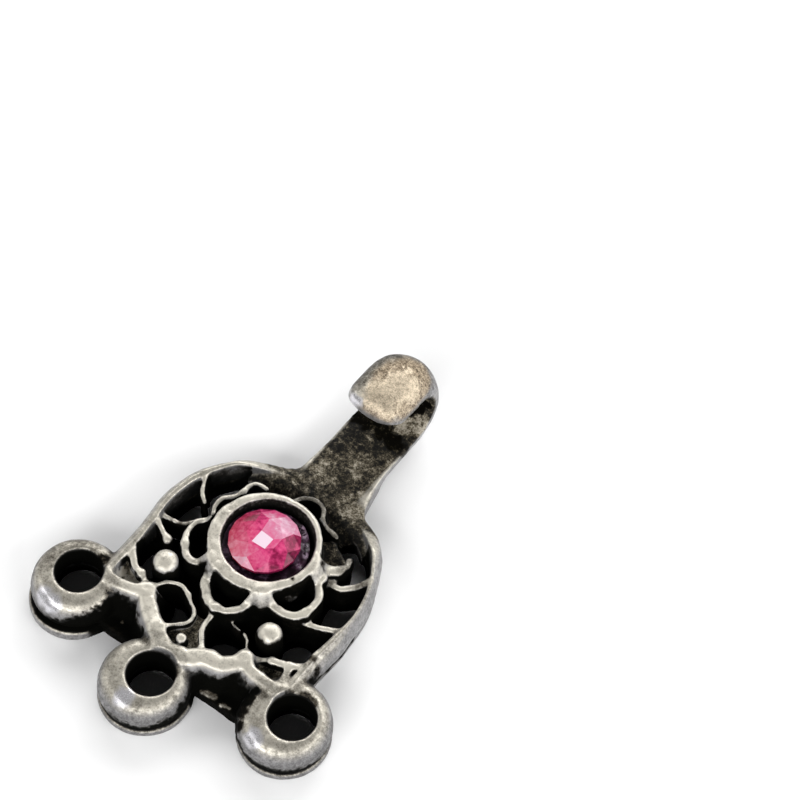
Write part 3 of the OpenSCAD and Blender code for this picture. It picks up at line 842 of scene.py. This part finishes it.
def dull_zone(points, relief):
    """What hardly shines: the low relief on the neck's side of the collar and, as painted shade, in part the
    loops' lower flanks.
    """
    x, y, z = points.T
    dull = relief * between(np.hypot(x, y), 4.15, 4.4) * between(y + 0.3 * x, 2.8, 4)
    for row in LOOPS:
        dull = np.maximum(dull, FLANK_SHADE * over_dome(x, y, *row[2:5]) * below(z, 1.8, 2.6))
    return dull


def buffed_zone(points, normals):
    """The hook's top, worn to a warm tone. The patch leans over one side."""
    x, y, z = points.T
    off = np.hypot((x - 0.75) / 2.3, (y - 14.6) / 3.6) + 0.12 * noise(points, 0.7, SEED + 12)
    return below(off, 0.75, 1.05) * between(z, 6.2, 6.6) * between(normals[:, 2], 0.1, 0.4)


def add_object(name, data):
    obj = bpy.data.objects.new(name, data)
    scene.collection.objects.link(obj)
    return obj


def add_mesh(name, points, faces, smooth=True):
    mesh = bpy.data.meshes.new(name)
    mesh.from_pydata((np.asarray(points) * MM).tolist(), [], [list(map(int, f)) for f in faces])
    mesh.validate()
    mesh.polygons.foreach_set("use_smooth", [smooth] * len(mesh.polygons))
    return add_object(name, mesh)


def set_values(mesh, name, values, domain="POINT"):
    layer = mesh.attributes.new(name, "FLOAT", domain)
    layer.data.foreach_set("value", np.asarray(values, np.float32))


def make_casting():
    field = casting_field()
    points, quads = surface_net(field)
    normals = normals_of(field, points)
    relief = openwork(points)
    lift = bumps(points, SEED, SKIN_BUMPS)
    lift += relief * bumps(points, SEED + 2, RELIEF_BUMPS)
    lift += rough_zone(points, normals) * bumps(points, SEED + 2, ROUGH_BUMPS)
    x, y, z = points.T
    in_cup = (np.hypot(x - CUP_X, y - CUP_Y) < CUP_CLEAR) & (z > 2.4)
    at_back = z < 0.08
    points += normals * np.where(in_cup | at_back, 0, lift)[:, None]
    sway = np.where(in_cup, 0, relief * between(points[:, 2], 1.2, 2.2))
    for axis in (0, 1):
        points[:, axis] += SWAY * sway * noise(points, SWAY_SIZE, SEED + 7 + axis)
    points = np.clip(points, *np.array(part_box("casting")) / MM)
    obj = add_mesh("hook_casting", points, quads)
    reduce = obj.modifiers.new("reduce", "DECIMATE")
    reduce.ratio = min(1, TRIANGLE_LIMIT / (2 * len(quads)))
    shaped = bpy.data.meshes.new_from_object(obj.evaluated_get(bpy.context.evaluated_depsgraph_get()))
    obj.modifiers.clear()
    obj.data = shaped

    at = np.empty(3 * len(shaped.vertices))
    shaped.vertices.foreach_get("co", at)
    at = at.reshape(-1, 3) / MM
    normals = normals_of(field, at)
    metal = np.clip(0.5 - field.values / GRID_STEP, 0, 1)
    close = sample(blur(metal, 0.3), at)
    wide = sample(blur(blur(metal, 0.5), 0.7), at)
    relief = openwork(at)
    fall = fall_zone(at, normals)
    floors = np.maximum(pocket_floors(at, normals), fall)
    looks = {
        "edge": below(close, 0.3, 0.52),
        "hollow": between(wide, 0.38, 0.62),
        "rough": np.maximum(rough_zone(at, normals), floors),
        # Real stains together with painted light and shade, and the fall's darker band
        "stain": stained(at) - FALL_DARK * fall * below(at[:, 1], 5.9, 6.4),
        # Glossy spots, which also carry painted highlights
        "shine": spots(at, GLOSS_AND_HIGHLIGHT_SPOTS, 0.5, 0.2 * noise(at, 0.4, SEED + 23)),
        # Painted shade: how far each face turns away from up
        "side": 1 - between(normals[:, 2], 0.35, 0.85),
        # The black, with painted shade up some of the domes' flanks
        "sunk": sunken(at, normals, relief, floors),
        # Darker low relief by the collar, and painted shade on the loops' lower flanks
        "dull": dull_zone(at, relief),
        "relief": relief,
        "buff": buffed_zone(at, normals),
    }
    for name, values in looks.items():
        set_values(shaped, name, values)
    return obj


def ring(r, z, count, turn=0):
    """Points round the axis. The turn is a share of the step between them."""
    turns = 2 * np.pi * (np.arange(count) + turn) / count
    return np.stack([r * np.cos(turns), r * np.sin(turns), np.full(count, z)], 1)


# Tones of the foil seen through the stone, from 0, wine red, to 1, white, counted round from +X.
# The bright patch lies on the table, and each list below starts at its first facet left of +X
PATCH = [(-0.36, 0.12), (-0.38, -0.98), (0.72, -0.92), (0.72, 0.05)]
TABLE_TONES = [0.8, 0.76, 0.5, 0.42, 0.5, 0.52, 0.46, 0.7]
STAR_TONES = [0.8, 0.78, 0.42, 0.36, 0.5, 0.6, 0.52, 0.45]
KITE_TONES = [0.34, 0.82, 0.6, 0.38, 0.45, 0.66, 0.52, 0.38]
GIRDLE_TONES = [0.15, 0.3, 0.78, 0.8, 0.7, 0.42, 0.3, 0.36, 0.45, 0.5, 0.6, 0.85, 0.8, 0.5, 0.4, 0.2]
STONE_AT = (-0.1, 0.16)


def make_stone():
    """A round cut: table, eight stars, eight kites, sixteen girdle facets and a blunt foiled back."""
    patch = np.array([(x, y, TABLE_Z) for x, y in PATCH])
    rings = [
        ring(TABLE_R, TABLE_Z, 8, 0.5), ring(CROWN_R, CROWN_Z, 8), ring(STONE_R, GIRDLE_HIGH, 16),
        ring(STONE_R, GIRDLE_LOW, 16), ring(CULET_R, CULET_Z, 8), patch,
    ]
    table, crown, high, low, culet, spot = np.cumsum([0] + [len(r) for r in rings[:-1]])
    faces = []
    tones = []

    def face(tone, *corners):
        faces.append(corners)
        tones.append(tone)

    face(1, *range(spot, spot + 4))
    # The patch's corner that lies nearest to the direction of each edge of the table
    middle = patch.mean(0)
    around = (patch - middle) / np.linalg.norm(patch - middle, axis=1, keepdims=True)
    near = np.argmax((rings[0] + np.roll(rings[0], -1, 0) - 2 * middle) @ around.T, axis=1)
    for i in range(8):
        j = (i + 1) % 8
        face(TABLE_TONES[i], table + i, table + j, spot + near[i])
        if near[j] != near[i]:
            face(TABLE_TONES[j], table + j, spot + near[j], spot + near[i])
        face(STAR_TONES[i], table + i, crown + j, table + j)
        face(KITE_TONES[i], table + i, crown + i, high + 2 * i + 1, crown + j)
        face(GIRDLE_TONES[2 * i], crown + i, high + 2 * i, high + 2 * i + 1)
        face(GIRDLE_TONES[2 * i - 1], crown + i, high + (2 * i - 1) % 16, high + 2 * i)
        face(0.1, culet + i, culet + j, low + 2 * j % 16, low + 2 * i + 1)
        face(0.1, culet + i, low + 2 * i + 1, low + 2 * i)
    for i in range(16):
        face(0.2, low + i, low + (i + 1) % 16, high + (i + 1) % 16, high + i)
    face(0.1, *range(culet + 7, culet - 1, -1))
    obj = add_mesh("pink_stone", np.vstack(rings) + (*STONE_AT, 0), faces, smooth=False)
    set_values(obj.data, "tone", tones, "FACE")
    return obj


def make_cement():
    """The bed of the stone: a low meniscus round the cup, with lumps where it ran up on one side."""
    turns = 144
    profile = [
        (0.6, CEMENT_LOW), (2.4, CEMENT_LOW), (3.02, CEMENT_LOW + 0.02), (3.2, 3.02), (3.24, 3.5),
        (3.16, 3.52), (3.05, 3.5), (2.95, 3.47), (2.84, 3.46), (2.72, 3.47), (2.6, 3.52), (2.45, 3.5),
        (2.2, 3.4), (1.7, 3.15), (1.05, 2.8), (0.6, 2.8),
    ]
    count = len(profile)
    first_free, last_free = 4, 11
    points = np.vstack([ring(r, z, turns) for r, z in profile])
    angle = np.arctan2(points[:, 1], points[:, 0])
    lump = between(np.cos(angle - math.radians(38)), 0.62, 0.98)
    free = np.repeat([first_free <= i <= last_free for i in range(count)], turns)
    heave = lump * (0.22 + 0.3 * noise(points, 0.42, SEED + 5)) + 0.02 * noise(points, 0.8, SEED + 6)
    points[:, 2] += np.where(free, heave, 0)
    faces = [
        [i * turns + k, i * turns + (k + 1) % turns, (i + 1) * turns + (k + 1) % turns, (i + 1) * turns + k]
        for i in range(count - 1) for k in range(turns)
    ]
    faces += [range(turns - 1, -1, -1), range((count - 1) * turns, count * turns)]
    obj = add_mesh("stone_bed", points, faces)
    set_values(obj.data, "glint", spots(points, GLINTS, 0.4))
    return obj


class Nodes:
    """Short ways to add nodes to a material."""

    def __init__(self, name):
        self.material = bpy.data.materials.new(name)
        self.material.use_nodes = True
        self.tree = self.material.node_tree
        self.shader = self.tree.nodes["Principled BSDF"]
        self.place = self.tree.nodes.new("ShaderNodeTexCoord").outputs["Object"]

    def plug(self, socket, value):
        if isinstance(value, bpy.types.NodeSocket):
            self.tree.links.new(value, socket)
        else:
            socket.default_value = value

    def put(self, kind, **inputs):
        """A node with its inputs set or linked. Names with a leading _ are the node's own settings."""
        node = self.tree.nodes.new("ShaderNode" + kind)
        for name, value in inputs.items():
            if name.startswith("_"):
                setattr(node, name[1:], value)
            else:
                self.plug(node.inputs[int(name[2:]) if name[:2] == "in" else name], value)
        return node

    def shade(self, **inputs):
        """Set or link the shader's own inputs."""
        for name, value in inputs.items():
            self.plug(self.shader.inputs[name.replace("_", " ")], value)

    def math(self, operation, a, b, clamp=False):
        return self.put("Math", _operation=operation, _use_clamp=clamp, in0=a, in1=b).outputs[0]

    def times(self, a, b):
        return self.math("MULTIPLY", a, b)

    def add(self, base, *parts, clamp=False):
        """The base and a share of each value. The parts are pairs of a value and its share."""
        for value, share in parts:
            base = self.math("ADD", base, self.times(value, share))
        base.node.use_clamp = clamp
        return base

    def swing(self, value):
        """A noise counted from its middle."""
        return self.math("SUBTRACT", value, 0.5)

    def value(self, name):
        return self.put("Attribute", _attribute_name=name).outputs["Fac"]

    def noise(self, per_mm, detail=3, roughness=0.6):
        node = self.put("TexNoise", Vector=self.place, Scale=per_mm / MM, Detail=detail, Roughness=roughness)
        return node.outputs["Fac"]

    def ramp(self, value, *stops):
        node = self.put("ValToRGB", Fac=value)
        band = node.color_ramp
        for _ in stops[2:]:
            band.elements.new(0.5)
        for element, (at, color) in zip(band.elements, stops):
            element.position = at
            element.color = (*color, 1)
        return node.outputs["Color"]

    def spread(self, value, low, high, to_low=0, to_high=1):
        node = self.put("MapRange", _clamp=True, in0=value, in1=low, in2=high, in3=to_low, in4=to_high)
        return node.outputs[0]

    def blend(self, share, a, b):
        return self.put("Mix", _data_type="RGBA", in0=share, in6=a, in7=b).outputs[2]

    def bump(self, height, strength, distance):
        node = self.put("Bump", Strength=strength, Distance=distance * MM, Height=height)
        self.shade(Normal=node.outputs["Normal"])


def silver_material():
    """Antique silver: black in the recesses, rough brown on the arm's face, worn to cream on the relief, with
    painted shade on the sides and painted highlights.
    """
    m = Nodes("antique_silver")
    fine, grain, blotch = m.noise(9), m.noise(3.2, 4, 0.7), m.noise(0.7)
    fine_swing = m.swing(fine)
    sunk, stain, relief, shine, buff = map(m.value, ("sunk", "stain", "relief", "shine", "buff"))
    # From 0, black, to 1, worn bright. The terms below also bring in painted light and shade
    wear_and_painted_light = m.add(
        0.8, (m.value("edge"), 0.08), (relief, 0.16), (m.value("hollow"), -0.5), (sunk, -0.95),
        (m.value("dull"), -0.42), (stain, 0.6), (m.swing(blotch), 0.5), (m.swing(grain), 0.85),
        (fine_swing, 0.45), clamp=True,
    )
    # Painted shade on faces turned away from up
    shaded_sides = m.times(m.value("side"), 0.8)
    worn = m.blend(shaded_sides, m.ramp(wear_and_painted_light, *TOP_COLORS), m.ramp(wear_and_painted_light, *SHADED_SIDE_COLORS))
    warm = m.ramp(m.add(0, (grain, 0.5), (fine, 0.5), (stain, 0.06)), *BUFF_COLORS)
    worn = m.blend(m.times(buff, 0.85), worn, warm)
    # Painted highlights: the glossy spots turn pale lavender
    worn = m.blend(m.times(shine, 0.85), worn, PAINTED_HIGHLIGHT_COLOR)
    crust = m.add(
        0, (grain, 0.6), (fine_swing, 0.4), (m.noise(1.3, 4, 0.65), 0.4), (m.swing(m.noise(0.45)), 0.35),
        (stain, 0.14),
    )
    rough_at = m.times(m.value("rough"), m.math("SUBTRACT", 1, sunk))
    dimmed = m.add(0, (rough_at, 0.5), (relief, 0.25))
    gloss = m.spread(m.add(wear_and_painted_light, (fine, 0.3)), 0.3, 1.1, 0.8, 0.38)
    black = m.math("MAXIMUM", sunk, m.times(stain, -1))
    black = m.math("MAXIMUM", black, m.times(rough_at, 0.6))
    m.shade(
        Base_Color=m.blend(rough_at, worn, m.ramp(crust, *CRUST_COLORS)),
        Metallic=m.math("SUBTRACT", m.spread(wear_and_painted_light, 0.15, 0.55, 0, 0.65), dimmed, clamp=True),
        Roughness=m.add(gloss, (shine, -0.2), (buff, 0.15), (rough_at, 0.2)),
        Specular_IOR_Level=m.spread(black, 0.2, 0.9, 0.5, 0.03),
    )
    height = m.add(0, (grain, 0.6), (fine, 0.4))
    m.bump(m.times(height, m.math("SUBTRACT", 1, shine)), 0.45, 0.05)
    return m.material


def stone_material():
    """Glass over foil: each facet shows its own tone of the foil under a clear coat."""
    m = Nodes("foiled_pink_glass")
    tone = m.value("tone")
    mottle, fleck = m.swing(m.noise(0.9, 4)), m.swing(m.noise(3.4))
    even = m.spread(tone, 0.6, 0.95, 1, 0.1)
    tone = m.add(tone, (mottle, even), (fleck, m.times(even, 0.5)))
    # The foil is warmer towards the left loop
    axes = m.put("SeparateXYZ", Vector=m.place).outputs
    side = m.add(0, (axes[0], -0.8), (axes[1], -0.6))
    warm = m.spread(side, 0.2 * MM, 2.4 * MM)
    m.shade(
        Base_Color=m.blend(warm, m.ramp(tone, *FOIL_COLORS), m.ramp(tone, *WARM_FOIL_COLORS)),
        Roughness=0.15, Specular_IOR_Level=0.15, Coat_Weight=0.08, Coat_Roughness=0.03, Coat_IOR=1.55,
    )
    return m.material


def cement_material():
    """Dark purplish glue with a gloss."""
    m = Nodes("dark_cement")
    speck = m.times(m.value("glint"), m.spread(m.noise(4.5, 2), 0.42, 0.58, 0, 0.8))
    m.shade(
        Base_Color=m.blend(speck, m.ramp(m.noise(1.4), *CEMENT_COLORS), GLINT_COLOR),
        Roughness=0.4, Specular_IOR_Level=0.3, Coat_Weight=0.2, Coat_Roughness=0.15,
    )
    m.bump(m.noise(3, 2), 0.4, 0.06)
    return m.material


def floor_material():
    m = Nodes("pale_floor")
    m.shade(Base_Color=m.ramp(m.noise(0.02, 2), *FLOOR_COLORS), Roughness=0.8)
    return m.material


def dress(obj, material, node):
    obj.data.materials.append(material)
    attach(obj, "root")
    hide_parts(node)


def add_camera():
    forward, right = Vector(CAMERA_FORWARD), Vector(CAMERA_RIGHT)
    up = right.cross(forward)
    camera = bpy.data.cameras.new("camera")
    camera.lens = CAMERA_LENS
    camera.clip_start = 0.001
    camera.clip_end = 20
    obj = add_object("camera", camera)
    turn = Matrix((right, up, -forward)).transposed().to_4x4()
    obj.matrix_world = Matrix.Translation(Vector(CAMERA_AT) * MM) @ turn
    scene.camera = obj


def add_light(name, toward, distance, size, power):
    """A soft light in a direction from the object, looking at it."""
    light = bpy.data.lights.new(name, "AREA")
    light.shape = "RECTANGLE"
    light.size, light.size_y = size
    light.energy = power
    obj = add_object(name, light)
    toward = Vector(toward).normalized()
    obj.location = toward * distance
    obj.rotation_euler = toward.to_track_quat("Z", "Y").to_euler()


def add_stage():
    corners = FLOOR_HALF * np.array([(-1, -1, 0), (1, -1, 0), (1, 1, 0), (-1, 1, 0)])
    floor = add_mesh("floor", corners, [range(4)])
    floor.location.z = -FLOOR_GAP * MM
    floor.data.materials.append(floor_material())
    for row in LIGHTS:
        add_light(*row)
    world = bpy.data.worlds.new("studio")
    world.use_nodes = True
    background = world.node_tree.nodes["Background"].inputs
    background["Color"].default_value = (1, 1, 1, 1)
    background["Strength"].default_value = WORLD_STRENGTH
    scene.world = world
    scene.view_settings.view_transform = "Standard"


add_camera()
add_stage()
dress(make_casting(), silver_material(), "casting")
dress(make_stone(), stone_material(), "stone")
dress(make_cement(), cement_material(), "stone_cement")
